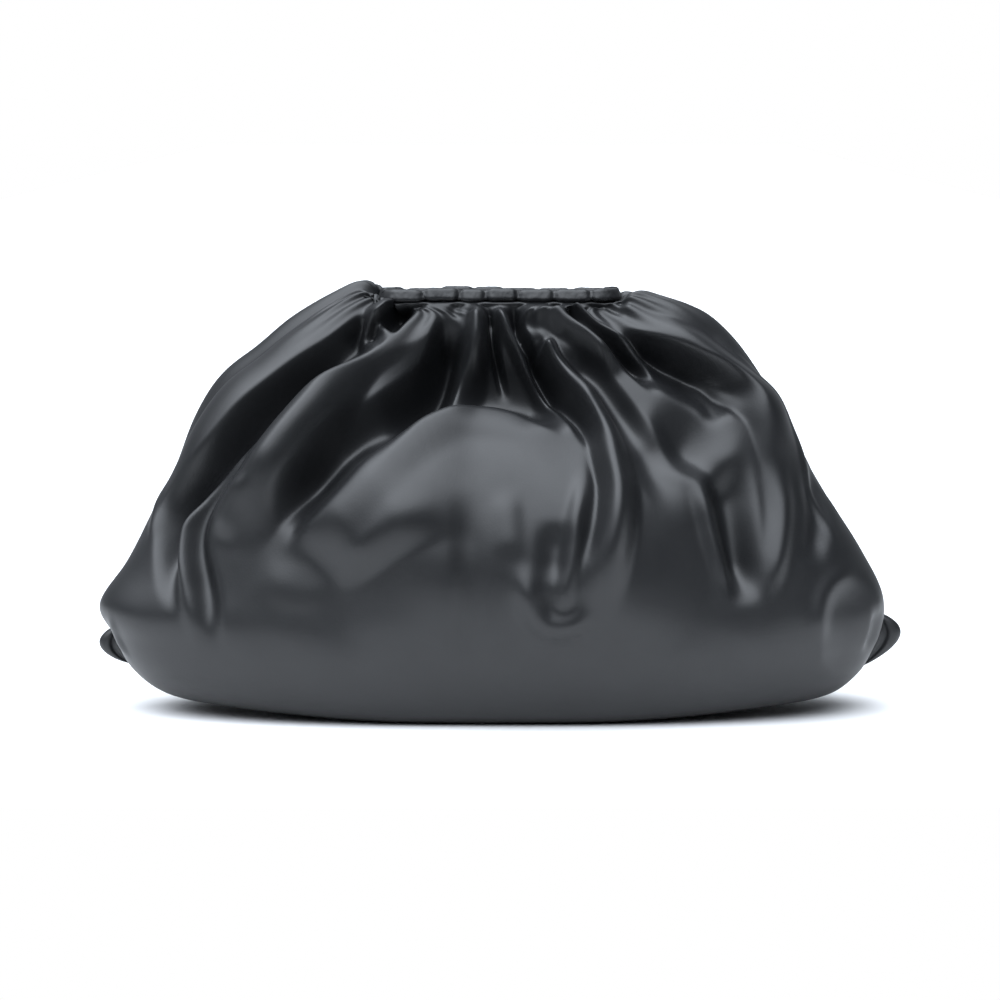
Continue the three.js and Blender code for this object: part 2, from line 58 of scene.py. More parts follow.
# The bag's sizes
BODY_WIDTH = 390 * MM
BODY_DEPTH = 150 * MM
BODY_HEIGHT = 207 * MM
LEATHER = 2.2 * MM
GAP = 0.3 * MM
MOUTH_LENGTH = 116 * MM
SLIT_WIDTH = 5 * MM
CASING_DEPTH = 8 * MM
CASING_HEIGHT = 6.4 * MM
SKIRT_MARGIN = 0.4 * MM
SKIRT_DROP = 0.3 * MM
SEAM_VALLEY_DEPTH = 2.5 * MM
SEAM_VALLEY_WIDTH = 11 * MM
NOTCH_DEPTH = 2.5 * MM
NOTCH_WIDTH = 10 * MM
EAR_HEIGHT = 26 * MM
CORNER_LIFT = 8 * MM
CORNER_LIFT_START = 40 * MM
CORNER_LIFT_HEIGHT = 60 * MM
FOLD_START_HEIGHT = 4 * MM
FOLD_FULL_HEIGHT = 26 * MM
FOLD_SEAM_MARGIN = 0.1

HALF_WIDTH = BODY_WIDTH / 2
HALF_DEPTH = BODY_DEPTH / 2
RIM_HEIGHT = BODY_HEIGHT - CASING_HEIGHT - GAP
CASING_OFFSET = SLIT_WIDTH / 2 + CASING_DEPTH / 2
MOUTH_REACH = MOUTH_LENGTH / 2
EAR_MIDDLE = BODY_HEIGHT * 0.135
TINY = 1e-12


class Side(Enum):
    """The two panels, valued by the way each faces along Y."""

    FRONT = -1.0
    BACK = 1.0


@dataclass(frozen=True)
class Section:
    """One level section of the body, from the mouth down.

    Heights are shares of the body's height, the depth a share of half its depth and reaches shares of
    half its width. A larger square value makes a fuller plan outline.
    """

    middle: float
    depth: float
    left_reach: float
    left_height: float
    right_reach: float
    right_height: float
    square: float


SECTIONS = (
    Section(0.935, 0.20, 0.350, 1.000, 0.360, 0.985, 2.3),
    Section(0.890, 0.30, 0.430, 0.970, 0.440, 0.978, 2.0),
    Section(0.830, 0.41, 0.520, 0.912, 0.520, 0.950, 2.0),
    Section(0.760, 0.53, 0.608, 0.845, 0.588, 0.895, 2.1),
    Section(0.680, 0.65, 0.694, 0.778, 0.648, 0.820, 2.2),
    Section(0.592, 0.78, 0.762, 0.687, 0.708, 0.722, 2.3),
    Section(0.500, 0.88, 0.822, 0.578, 0.770, 0.608, 2.35),
    Section(0.405, 0.95, 0.884, 0.465, 0.838, 0.495, 2.4),
    Section(0.312, 0.99, 0.944, 0.355, 0.908, 0.390, 2.4),
    Section(0.225, 1.00, 1.010, 0.258, 0.965, 0.283, 2.4),
    Section(0.142, 0.97, 0.978, 0.176, 0.962, 0.182, 2.4),
    Section(0.068, 0.88, 0.940, 0.088, 0.925, 0.088, 2.4),
    Section(0.018, 0.76, 0.880, 0.028, 0.865, 0.024, 2.3),
    Section(0.000, 0.60, 0.805, 0.000, 0.795, 0.000, 2.2),
    Section(0.000, 0.40, 0.710, 0.000, 0.700, 0.000, 2.2),
    Section(0.000, 0.20, 0.615, 0.000, 0.610, 0.000, 2.2),
    Section(0.000, 0.00, 0.520, 0.000, 0.520, 0.000, 2.2),
)
BASE_SECTIONS = 3
# The row of the skirt, where the folds set in
SKIRT_ROW = 1


@dataclass(frozen=True)
class Fold:
    """One fold of a panel: a bump or a valley along a smooth path seen from the front.

    Path, rise, wide and slide are in hundredths. The path runs from the mouth down, across in hundredths
    of half the body's width and up in those of its height. Rise is of half the depth, outwards when
    positive. Wide is the half width at the start and at the end, of half the body's width. Lean widens
    the fold on the left of its path and steepens it on the right. Fade is the share of the length over
    which each end dies away. Slide pushes the crest to the left of the path, of half the body's width,
    so that the fold hangs over its own edge. Round is the power of its profile: 2 makes a narrow crest,
    and nearer 1 a full one.
    """

    name: str
    path: tuple[tuple[float, float], ...]
    rise: float
    wide: tuple[float, float]
    lean: float = 0.0
    fade: tuple[float, float] = (0.3, 0.3)
    slide: float = 0.0
    round: float = 2.0


FRONT_FOLDS = (
    # Broad forms
    Fold("mouth_hollow", ((-12, 79), (2, 77.5), (15, 75.5)), -13, (12, 11)),
    Fold("belly_dome", ((-12, 44), (2, 43), (20, 42)), 16, (36, 34), fade=(0, 0)),
    Fold("brow_hollow", ((-28, 68), (-20, 73.5), (-12, 77), (-4, 78.5), (4, 77.5), (11, 74.5), (19, 70)),
         -20, (10, 10), lean=0.45, fade=(0.3, 0.2), round=1.4),
    Fold("brow", ((-55, 39.5), (-49, 41.5), (-43, 46.5), (-37, 52), (-32, 57), (-26, 62.5), (-19, 68),
         (-12, 71.5), (-4, 73), (4, 72), (11, 68.5), (19, 64)), 5, (7, 6), lean=-0.3, fade=(0.15, 0.4),
         slide=1.5),
    Fold("dome_limb", ((-44, 36), (-36, 42), (-27, 48), (-16, 53), (-4, 55)), 13, (11, 17), lean=0.3,
         fade=(0.3, 0.5), round=1.5),
    Fold("limb_foot", ((-60, 37), (-50, 33), (-38, 33)), 3.5, (8, 8), fade=(0.4, 0.4)),
    # Left side
    Fold("left_puff", ((-42, 90), (-55, 82), (-66, 73), (-75, 62), (-83, 48)), 4, (10, 6), fade=(0.3, 0.5)),
    Fold("left_valley", ((-29, 93), (-38, 86), (-49, 79), (-60, 71), (-69, 62), (-76, 54.5), (-81, 47),
         (-81.5, 38.5), (-80, 30.5), (-79, 25)), -28, (6, 3.5), fade=(0.06, 0.3)),
    Fold("valley_ridge", ((-60.5, 65.5), (-69, 59.5), (-74.5, 53), (-77, 47), (-78, 40.5), (-77, 34),
         (-75.5, 28), (-73, 17)), 6, (3.5, 4), fade=(0.3, 0.4)),
    Fold("crescent_valley", ((-59, 61), (-67, 57), (-72, 51.5), (-74.5, 46), (-74.5, 41), (-73, 35),
         (-71.5, 29), (-71, 22), (-70, 14)), -9, (3.5, 4.5), fade=(0.3, 0.4)),
    Fold("lens", ((-60, 58.5), (-65.5, 50), (-68, 42)), 5, (5, 5)),
    Fold("left_roll", ((-15, 98), (-20, 94), (-28, 90.2), (-35, 85.6), (-40.5, 78.7), (-45.5, 72),
         (-54, 61.5), (-59.7, 54), (-64.5, 48), (-68, 43)), 26, (5.5, 9), lean=0.15, fade=(0.65, 0.3),
         slide=-0.6, round=1.35),
    Fold("dark_valley_top", ((-11.5, 94), (-13, 88), (-17, 80), (-25, 72), (-32, 66), (-37, 61)), -30,
         (4, 10), fade=(0.15, 0.45)),
    Fold("dark_valley_foot", ((-27, 73), (-36, 66), (-44, 58), (-50, 51.5), (-54.5, 45.5)), -20, (7.5, 5),
         fade=(0.35, 0.4)),
    # Gathers at the mouth
    Fold("pocket", ((-22.5, 97.5), (-25.5, 94), (-28.5, 90.5)), -20, (3.2, 3.4), fade=(0.2, 0.2)),
    Fold("pocket_lip", ((-24, 98.5), (-29, 95.5), (-33, 92.5), (-33.5, 89), (-29, 86.8)), 9, (2.2, 2.6),
         fade=(0.3, 0.2)),
    Fold("pleat_b", ((-5.5, 97), (-5.5, 90.5), (-6.5, 84), (-8, 78.5)), 15, (2.8, 4.5), fade=(0, 0.45)),
    Fold("middle_slit", ((-2.5, 98), (-2.2, 91), (-0.7, 86), (2, 79)), -12, (1.4, 2), fade=(0, 0.4)),
    Fold("pleat_c", ((-1, 96.5), (0, 92.5), (4, 87), (8.5, 81.5), (13, 76.5), (17, 72.5)), 13, (2.2, 2.8),
         lean=0.2, fade=(0, 0.3)),
    Fold("pleat_c_recess", ((3, 96), (5, 90), (11.5, 80), (16.5, 73.5)), -14, (1.8, 3.5), fade=(0, 0.3)),
    Fold("pleat_d", ((8, 96), (15, 93), (21, 89), (26, 84.5), (29.5, 80)), 15, (5, 3.5), fade=(0, 0.3)),
    Fold("pleat_d_recess", ((7.5, 89), (10, 84.5), (15, 77), (20, 70), (24, 63)), -15, (3, 3),
         fade=(0.15, 0.35)),
    Fold("long_ridge", ((10, 88), (12.5, 83.5), (16.5, 79.5), (20.5, 75), (23.7, 70), (26, 65), (27, 60),
         (28, 54), (27.5, 47), (26, 40), (24, 34), (21.5, 28.5), (18.5, 24.5)), 17, (3.4, 6.5),
         fade=(0.03, 0.4), round=1.3),
    Fold("ridge_left_groove", ((21.5, 64), (23, 60), (23.8, 54), (23.2, 47.5), (21.5, 42), (20, 36.5)), -4,
         (2.8, 2.8)),
    Fold("ridge_right_valley", ((15, 86), (20, 83), (25, 78), (29.5, 72), (33.5, 66), (37, 60), (42, 54),
         (47, 48)), -10, (3, 7), fade=(0.15, 0.4)),
    Fold("inner_ridge", ((20.5, 60), (19.5, 54), (18, 48), (16.8, 41), (16, 35.5), (15, 30), (13, 25.5)),
         5, (3, 3), fade=(0.3, 0.2)),
    Fold("ridge_foot_lip", ((6.25, 39.5), (6.25, 33), (8, 28), (11, 25), (15, 24.5), (19, 26), (22.5, 30)),
         7, (4.5, 4.5)),
    Fold("ridge_foot_dent", ((13.5, 48), (13, 40), (12, 33)), -5, (6.5, 5), fade=(0.4, 0.4)),
    Fold("pleat_e", ((16, 96), (21, 92.5), (26, 89.5), (32, 86.5), (36.5, 84), (40.5, 81)), 11, (1.8, 2.4),
         fade=(0, 0.3)),
    Fold("pleat_e_recess", ((17.5, 93), (24, 89), (30, 85), (36, 80), (40, 76.5)), -11, (1.8, 2.8),
         fade=(0, 0.35)),
    # Right side
    Fold("shoulder_lobe", ((30, 97.5), (37, 95.5), (45, 92), (53, 87)), 7, (5, 7), fade=(0.1, 0.5)),
    Fold("right_shoulder", ((27.5, 95.5), (32.5, 91.5), (42, 87.5), (48.5, 85), (54, 81), (59.5, 76.5),
         (64, 72), (67, 65), (69, 59), (70, 51)), 13, (3.5, 6), lean=0.15, fade=(0.3, 0.4), round=1.3),
    Fold("right_valley", ((29, 89.5), (37, 86), (46.5, 82), (54, 79), (59, 74.5), (61, 69)), -20,
         (4.5, 7.5), lean=-0.5, fade=(0.2, 0.3)),
    Fold("second_ridge", ((46, 80), (52, 77.5), (56, 73), (57, 68)), 4, (3, 4)),
    Fold("bowl", ((34, 68), (42, 65), (50, 62.5), (57, 60)), -12, (12, 10), lean=0.3, fade=(0.5, 0.5)),
    Fold("bowl_rim", ((32, 74), (35.5, 66), (41, 59), (45.5, 53), (48, 45)), 5, (6, 10), fade=(0.3, 0.4)),
    Fold("wedge_trough", ((54.5, 63), (56, 54), (58, 42), (60, 28)), -14, (8, 5)),
    Fold("wedge_left_rim", ((48, 60), (50, 51), (53, 41), (57, 30)), 6, (4, 3.5), fade=(0.35, 0.3)),
    Fold("wedge_right_rim", ((66, 61), (69, 52), (68, 41), (64.5, 29)), 6, (4.5, 3.5), fade=(0.35, 0.3)),
    Fold("right_dark", ((77.5, 60), (78.5, 48), (76, 36)), -5, (5, 4)),
    Fold("right_crease", ((55.5, 87.5), (63, 80.5), (68, 75), (73, 66), (76, 57.5), (81, 45), (83, 40)), 2,
         (1.2, 1.2), fade=(0.2, 0.2)),
    Fold("left_crease", ((-83.5, 58), (-85, 52), (-86, 46.5), (-86.5, 41.5)), 2, (1.2, 1.2),
         fade=(0.2, 0.2)),
    Fold("left_edge", ((-96.5, 24), (-95, 17), (-92, 11)), 2, (1.3, 1.3)),
    Fold("right_notch", ((94.5, 26), (94, 19), (92, 12)), -4, (2, 2)),
    Fold("oval_dent", ((86.5, 26), (87, 14)), -5, (8, 8), fade=(0, 0), round=1.2),
    Fold("oval_rim", ((78.5, 17), (78.5, 25), (81, 31.5), (86, 35), (90, 34.5)), 2.2, (4, 4)),
    # Belly
    Fold("belly_valley", ((-7.5, 55.5), (-7.5, 38.5), (-8, 19.5), (-5, 12)), -3, (5.5, 5.5)),
    Fold("belly_ridge", ((1.5, 55), (2.5, 38.5)), 2.5, (4.5, 5)),
)

BACK_FOLDS = (
    # Broad forms
    Fold("hollow", ((-12, 82), (10, 80)), -12, (13, 12)),
    Fold("belly", ((-15, 44), (15, 44)), 10, (33, 33), fade=(0, 0)),
    Fold("brow_hollow", ((-24, 69), (-14, 73), (-2, 73.5), (8, 71)), -12, (9, 9), lean=0.4,
         fade=(0.35, 0.3), round=1.5),
    Fold("brow", ((-36, 54), (-26, 62), (-15, 67), (-2, 68), (9, 65.5)), 5, (8, 7), lean=-0.3,
         fade=(0.3, 0.4), slide=1),
    # Left side, seen from the front
    Fold("left_puff", ((-31, 98), (-50, 90), (-68, 74), (-78, 54), (-82, 38)), 10, (10, 7),
         fade=(0, 0.5)),
    Fold("left_valley", ((-25, 94), (-36, 85), (-49, 74), (-61, 60), (-69, 46), (-73, 33)), -20,
         (5, 4.5), fade=(0.1, 0.4)),
    Fold("left_roll", ((-16, 97), (-24, 89), (-34, 79), (-45, 67), (-54, 54), (-59, 42)), 16, (5, 8),
         lean=0.2, fade=(0.3, 0.4), slide=-0.6, round=1.4),
    Fold("crescent", ((-60, 50), (-67, 42), (-69, 33), (-67, 22)), -7, (4, 5), fade=(0.3, 0.4)),
    Fold("middle_valley", ((-10, 96), (-14, 86), (-22, 76), (-33, 63), (-41, 50)), -19, (3, 5.5),
         fade=(0.05, 0.4)),
    # Gathers at the mouth
    Fold("pleat_a", ((-4, 97), (-5, 88), (-8, 78)), 11, (2.8, 4), fade=(0, 0.4)),
    Fold("slit", ((0, 97), (0, 89), (2, 79)), -11, (1.6, 2.5), fade=(0, 0.4)),
    Fold("pleat_c", ((4, 97), (6, 88), (11, 78)), 10, (2.5, 3.5), fade=(0, 0.4)),
    Fold("pleat_recess", ((8, 95), (12, 85), (17, 74), (20, 63)), -13, (2.5, 4), fade=(0.1, 0.4)),
    Fold("long_ridge", ((11, 95), (17, 86), (23, 76), (28, 65), (30, 53), (28, 41), (23, 31)), 12,
         (4.5, 7), fade=(0.15, 0.4), round=1.4),
    Fold("ridge_valley", ((17, 95), (25, 86), (33, 75), (39, 62), (42, 50)), -12, (3, 5.5),
         fade=(0.1, 0.4)),
    # Right side, seen from the front
    Fold("shoulder", ((27, 98), (39, 90), (51, 82), (60, 73), (67, 61), (70, 47)), 12, (4.5, 6),
         lean=0.15, fade=(0, 0.5)),
    Fold("right_valley", ((26, 90), (37, 83), (48, 75), (56, 65), (59, 54)), -17, (4, 6), lean=-0.4,
         fade=(0.2, 0.35)),
    Fold("bowl", ((36, 66), (45, 60), (52, 52)), -8, (9, 8), fade=(0.5, 0.5)),
    Fold("wedge", ((57, 52), (61, 41), (62, 28)), -9, (7, 5), fade=(0.4, 0.3)),
    Fold("wedge_rim", ((66, 55), (70, 43), (69, 30)), 4, (4.5, 4), fade=(0.35, 0.3)),
    Fold("low_turn", ((-40, 20), (-5, 16), (35, 20)), -2, (6, 6)),
)


# Where the gathers pinch each casing, in shares of half the mouth's length
FRONT_GATHERS = (-0.92, -0.64, -0.34, -0.12, 0.15, 0.45, 0.76)
BACK_GATHERS = (-0.80, -0.50, -0.22, 0.04, 0.32, 0.60, 0.88)

# Slow waves in the leather: radians a metre along X and up Z, and where each starts
RIPPLES = ((71, 37, 0.4), (-43, 83, 1.9), (109, -61, 3.1), (29, 131, 4.4), (151, 97, 5.2))


def smooth_step(x: np.ndarray) -> np.ndarray:
    """A soft step from 0 at 0 to 1 at 1."""
    c = np.clip(x, 0.0, 1.0)
    return c * c * (3.0 - 2.0 * c)


def through_rows(rows: np.ndarray, position: np.ndarray) -> np.ndarray:
    """The Catmull-Rom curve through rows of numbers.

    Args:
        rows: the rows, as an array of rows by columns.
        position: places on the curve, counted in rows.

    Returns:
        One row of numbers for each place.
    """
    at = np.clip(position, 0, len(rows) - 1)
    i = np.minimum(np.floor(at).astype(int), len(rows) - 2)
    f = (at - i)[:, None]
    p0, p1 = rows[np.maximum(i - 1, 0)], rows[i]
    p2, p3 = rows[i + 1], rows[np.minimum(i + 2, len(rows) - 1)]
    return 0.5 * (2 * p1 + (p2 - p0) * f + (2 * p0 - 5 * p1 + 4 * p2 - p3) * f ** 2
                  + (3 * p1 - p0 - 3 * p2 + p3) * f ** 3)


@dataclass
class PouchForm:
    """The plain body before its folds, as a surface over rows from the mouth down and places across.

    The places across turn evenly by one share and with their cube by the other. A larger end power keeps
    the rows level nearer to the seams.
    """

    square_collar: float = 3.0
    square_skirt: float = 4.0
    rim_tuck: float = LEATHER * 1.5
    even_share: float = 0.82
    cubed_share: float = 0.18
    end_power: float = 2.4

    def __post_init__(self) -> None:
        """Puts the collar's two rows, the rim and the skirt outside it, above the table's sections."""
        edge = CASING_OFFSET + CASING_DEPTH / 2
        collar = [
            self._collar_row(edge - self.rim_tuck, MOUTH_REACH - LEATHER, 0, self.square_collar),
            self._collar_row(edge + SKIRT_MARGIN, MOUTH_REACH + SKIRT_MARGIN, SKIRT_DROP, self.square_skirt),
        ]
        self.rows = np.array(collar + [astuple(section) for section in SECTIONS])
        self.last = len(self.rows) - 1
        self.base = self.last - BASE_SECTIONS

    @staticmethod
    def _collar_row(depth: float, reach: float, drop: float, square: float) -> list[float]:
        """A level row a little below the rim, with its depth, reach and drop in metres."""
        height = (RIM_HEIGHT - drop) / BODY_HEIGHT
        across = reach / HALF_WIDTH
        return [height, depth / HALF_DEPTH, across, height, across, height, square]

    def points(self, rows: np.ndarray, across: np.ndarray, side: Side) -> np.ndarray:
        """The plain surface.

        Args:
            rows: places from the mouth down, counted in sections.
            across: places from the left seam at -1 to the right seam at 1.
            side: the panel.

        Returns:
            Points as an array of rows by places across by 3.
        """
        middle, depth, left, left_z, right, right_z, square = through_rows(self.rows, rows).T[:, :, None]
        left_half = (across < 0)[None, :]
        reach = np.where(left_half, left, right)
        end_height = np.where(left_half, left_z, right_z)
        angle = (np.pi / 2) * (self.even_share * across + self.cubed_share * across ** 3)[None, :]
        power = 2.0 / square
        towards_end = np.abs(np.sin(angle)) ** self.end_power
        x = HALF_WIDTH * reach * np.sign(angle) * np.abs(np.sin(angle)) ** power
        y = HALF_DEPTH * np.maximum(depth, 0) * np.abs(np.cos(angle)) ** power
        z = BODY_HEIGHT * np.maximum(middle * (1 - towards_end) + end_height * towards_end, 0)
        z = np.where((rows >= self.base)[:, None], 0.0, z)
        return np.stack([x, side.value * (y + GAP / 2), z], axis=-1)


def grid_normals(grid: np.ndarray, side: Side) -> np.ndarray:
    """Outward normals of a grid of points, level with the seam at both of its ends.

    Args:
        grid: points, as an array of rows by places across by 3.
        side: the panel.

    Returns:
        A normal of length one for each point.
    """
    down = np.gradient(grid, axis=0)
    right = np.gradient(grid, axis=1)
    normals = np.cross(down, right) * -side.value
    normals[:, 0, 1] = 0.0
    normals[:, -1, 1] = 0.0
    normals[-1] = (0.0, 0.0, -1.0)
    return normals / np.maximum(np.linalg.norm(normals, axis=-1, keepdims=True), TINY)


@dataclass
class FoldPainter:
    """Adds up what a table of folds does to a surface seen from the front."""

    folds: tuple[Fold, ...]
    steps_per_span: int = 8

    def lift(self, x: np.ndarray, z: np.ndarray) -> tuple[np.ndarray, np.ndarray]:
        """The folds' work at each place.

        Args:
            x: places along the mouth.
            z: heights.

        Returns:
            How far each place moves out, and how far it slides along X and Z.
        """
        out = np.zeros(x.shape)
        slide = np.zeros(x.shape + (2,))
        for fold in self.folds:
            self._add(fold, x, z, out, slide)
        return out, slide

    def _add(self, fold: Fold, x: np.ndarray, z: np.ndarray, out: np.ndarray, slide: np.ndarray) -> None:
        """Adds one fold to the work of the others.

        Args:
            fold: the fold.
            x: places along the mouth.
            z: heights.
            out: the lift so far, which is added to.
            slide: the slide so far, which is added to.
        """
        corners = np.array(fold.path) / 100 * (HALF_WIDTH, BODY_HEIGHT)
        first, last = fold.wide[0] / 100, fold.wide[1] / 100
        count = (len(corners) - 1) * self.steps_per_span
        path = through_rows(corners, np.arange(count + 1) / self.steps_per_span)
        spans = np.linalg.norm(np.diff(path, axis=0), axis=1)
        run = np.concatenate([[0.0], np.cumsum(spans)])
        widest = max(first, last) * HALF_WIDTH * (1 + abs(fold.lean))
        near = ((x > path[:, 0].min() - widest) & (x < path[:, 0].max() + widest)
                & (z > path[:, 1].min() - widest) & (z < path[:, 1].max() + widest))
        if not near.any():
            return
        px, pz = x[near], z[near]
        best = np.full(px.shape, np.inf)
        along = np.zeros(px.shape)
        hand = np.ones(px.shape)
        cross_x = np.zeros(px.shape)
        cross_z = np.zeros(px.shape)
        for i, span in enumerate(spans):
            dx, dz = (path[i + 1] - path[i]) / span
            rx, rz = px - path[i, 0], pz - path[i, 1]
            t = np.clip(rx * dx + rz * dz, 0, span)
            distance = np.hypot(rx - t * dx, rz - t * dz)
            closer = distance < best
            best = np.where(closer, distance, best)
            along = np.where(closer, (run[i] + t) / run[-1], along)
            hand = np.where(closer, np.sign(dx * rz - dz * rx), hand)
            cross_x = np.where(closer, -dz, cross_x)
            cross_z = np.where(closer, dx, cross_z)
        wide = HALF_WIDTH * (first + (last - first) * along)
        away = np.clip(best / (wide * (1 + fold.lean * hand)), 0, 1)
        shape = (1 - away ** 2) ** fold.round
        if fold.fade[0] > 0:
            shape *= smooth_step(along / fold.fade[0])
        if fold.fade[1] > 0:
            shape *= smooth_step((1 - along) / fold.fade[1])
        out[near] += fold.rise / 100 * HALF_DEPTH * shape
        hang = fold.slide / 100 * HALF_WIDTH * shape[:, None]
        slide[near] += hang * np.stack([cross_x, cross_z], axis=-1)


@dataclass
class PanelGrid:
    """The grid of a panel: fine on the outside and coarser on the inside by a whole ratio."""

    columns: int
    rows: int
    ratio: int = 3
    rim_density: float = 0.55

    def across(self) -> np.ndarray:
        """Places from the left seam to the right one."""
        return np.linspace(-1, 1, self.columns * self.ratio + 1)

    def down(self, last: float) -> np.ndarray:
        """Places from the rim to the seam under the base, closer together near the rim."""
        share = np.linspace(0, 1, self.rows * self.ratio + 1)
        return last * share * (self.rim_density + (1 - self.rim_density) * share)


@dataclass
class LeatherPanel:
    """A gathered panel, as a closed sheet of leather from the rim of the mouth to the base seam.

    Starts, fades and reaches are counted in sections from the skirt down, and heights and widths in metres.
    """

    name: str
    node: str
    side: Side
    folds: tuple[Fold, ...]
    grid: PanelGrid
    gathers: tuple[float, ...]
    soften: int = 3
    rim_fade: float = 1.3
    groove_fade: float = 2.0
    ear_share: float = 0.75
    ripple_height: float = 0.5 * MM
    gather_depth: float = 2.6 * MM
    gather_width: float = 2.4 * MM
    gather_start: float = 0.25
    gather_reach: float = 1.5
    gather_spread: float = 0.5
    gather_fan: float = 0.14
    pleat_height: float = 0.8 * MM
    pleat_count: int = 23
    pleat_row: float = 2.2
    pleat_reach: float = 1.3
    pleat_sway: float = 0.9
    pleat_sway_rate: float = 11.0

    def surface(self, form: PouchForm) -> np.ndarray:
        """The outside of the panel with its folds.

        Args:
            form: the plain body.

        Returns:
            Points as an array of rows by places across by 3.
        """
        rows = self.grid.down(form.last)
        across = self.grid.across()
        points = form.points(rows, across, self.side)
        normals = grid_normals(points, self.side)
        x, y, z = points[..., 0], np.abs(points[..., 1]), points[..., 2]
        out, slide = FoldPainter(self.folds).lift(x, z)
        out += self._ripples(x, z) + self._small_pleats(rows, across)
        creases = self._gather_creases(rows, x)
        share = self._fold_share(rows, across, z)
        groove = self._seam_groove(y, z) * smooth_step((rows - SKIRT_ROW) / self.groove_fade)[:, None]
        points += normals * (out * share + creases - groove)[..., None]
        points[..., 0] += slide[..., 0] * share
        points[..., 2] += slide[..., 1] * share
        points[..., 2] += self._corner_lift(points[..., 0], points[..., 2])
        return self._softened(points)

    @staticmethod
    def _corner_lift(x: np.ndarray, z: np.ndarray) -> np.ndarray:
        """How far the base rises off the ground towards its ends, where the bag weighs little."""
        outwards = smooth_step((np.abs(x) - CORNER_LIFT_START) / (HALF_WIDTH - CORNER_LIFT_START))
        return CORNER_LIFT * outwards * smooth_step(1 - z / CORNER_LIFT_HEIGHT)

    def _fold_share(self, rows: np.ndarray, across: np.ndarray, z: np.ndarray) -> np.ndarray:
        """How much of the folds is left near the floor, the seam and the rim, from 0 for none to 1."""
        seam = smooth_step((1 - np.abs(across)) / FOLD_SEAM_MARGIN)[None, :]
        floor = smooth_step((z - FOLD_START_HEIGHT) / (FOLD_FULL_HEIGHT - FOLD_START_HEIGHT))
        rim = smooth_step((rows - SKIRT_ROW) / self.rim_fade)[:, None]
        return seam * floor * rim

    def _seam_groove(self, from_seam: np.ndarray, z: np.ndarray) -> np.ndarray:
        """The depth of the groove along the seam, which is the largest where a corner ear comes out."""
        plain = SEAM_VALLEY_DEPTH * np.exp(-(from_seam / SEAM_VALLEY_WIDTH) ** 2)
        near_ear = np.exp(-((z - EAR_MIDDLE) / (EAR_HEIGHT * self.ear_share)) ** 2)
        notch = NOTCH_DEPTH * near_ear * np.exp(-(from_seam / NOTCH_WIDTH) ** 2)
        return (plain + notch) * smooth_step(z / FOLD_FULL_HEIGHT)

    def _ripples(self, x: np.ndarray, z: np.ndarray) -> np.ndarray:
        """Slow low waves in the leather between its folds."""
        total = sum(np.sin(a * x + b * z + phase) for a, b, phase in RIPPLES)
        return self.ripple_height * total / len(RIPPLES) * 2

    def _small_pleats(self, rows: np.ndarray, across: np.ndarray) -> np.ndarray:
        """Small even pleats where the leather goes in under the casing."""
        sway = self.pleat_sway * np.sin(across * self.pleat_sway_rate)
        wave = np.sin(across * np.pi * self.pleat_count + sway)
        fall = np.exp(-((rows - self.pleat_row) / self.pleat_reach) ** 2)
        return self.pleat_height * fall[:, None] * wave[None, :]

    def _gather_creases(self, rows: np.ndarray, x: np.ndarray) -> np.ndarray:
        """A crease below each gather of the casing, which fans out and dies away downwards."""
        below = np.maximum(rows - SKIRT_ROW, 0)[:, None]
        fall = smooth_step(below / self.gather_start) * np.exp(-(below / self.gather_reach) ** 2)
        width = self.gather_width * (1 + self.gather_spread * below)
        fan = 1 + self.gather_fan * below
        total = sum(np.exp(-((x - share * MOUTH_REACH * fan) / width) ** 2) for share in self.gathers)
        return -self.gather_depth * fall * total

    def _softened(self, points: np.ndarray) -> np.ndarray:
        """The same grid with each inner point drawn halfway to the mean of its neighbours, several times."""
        for _ in range(self.soften):
            inner = points[1:-1, 1:-1]
            mean = (points[:-2, 1:-1] + points[2:, 1:-1] + points[1:-1, :-2] + points[1:-1, 2:]) / 4
            points[1:-1, 1:-1] = inner * 0.5 + mean * 0.5
        return points

    def build(self, form: PouchForm) -> Object:
        """The panel as a closed sheet: its outside, its inside and a strip around their edges.

        Args:
            form: the plain body.

        Returns:
            The mesh object.
        """
        outer = self.surface(form)
        ratio = self.grid.ratio
        coarse = outer[::ratio, ::ratio]
        inner = coarse - grid_normals(coarse, self.side) * LEATHER
        near = np.arange(outer[..., 0].size).reshape(outer.shape[:2])
        far = near.size + np.arange(inner[..., 0].size).reshape(inner.shape[:2])
        quads = (np.stack([near[:-1, :-1], near[1:, :-1], near[1:, 1:], near[:-1, 1:]], axis=-1),
                 np.stack([far[:-1, :-1], far[:-1, 1:], far[1:, 1:], far[1:, :-1]], axis=-1))
        faces = [tuple(face) for grid in quads for face in grid.reshape(-1, 4).tolist()]
        edges = ((near[0], far[0], 1), (near[-1], far[-1], -1),
                 (near[:, 0], far[:, 0], -1), (near[:, -1], far[:, -1], 1))
        for fine, coarse_edge, way in edges:
            for k in range(len(coarse_edge) - 1):
                strip = fine[k * ratio:(k + 1) * ratio + 1][::way]
                faces.append((*strip.tolist(), *coarse_edge[k:k + 2][::-way].tolist()))
        if self.side is Side.BACK:
            faces = [tuple(reversed(face)) for face in faces]
        points = np.concatenate([outer.reshape(-1, 3), inner.reshape(-1, 3)])
        return mesh_object(self.name, points, faces)


def new_object(name: str, data: object) -> Object:
    """An object at the origin with the given data, linked to the scene."""
    obj = bpy.data.objects.new(name, data)
    bpy.context.scene.collection.objects.link(obj)
    return obj


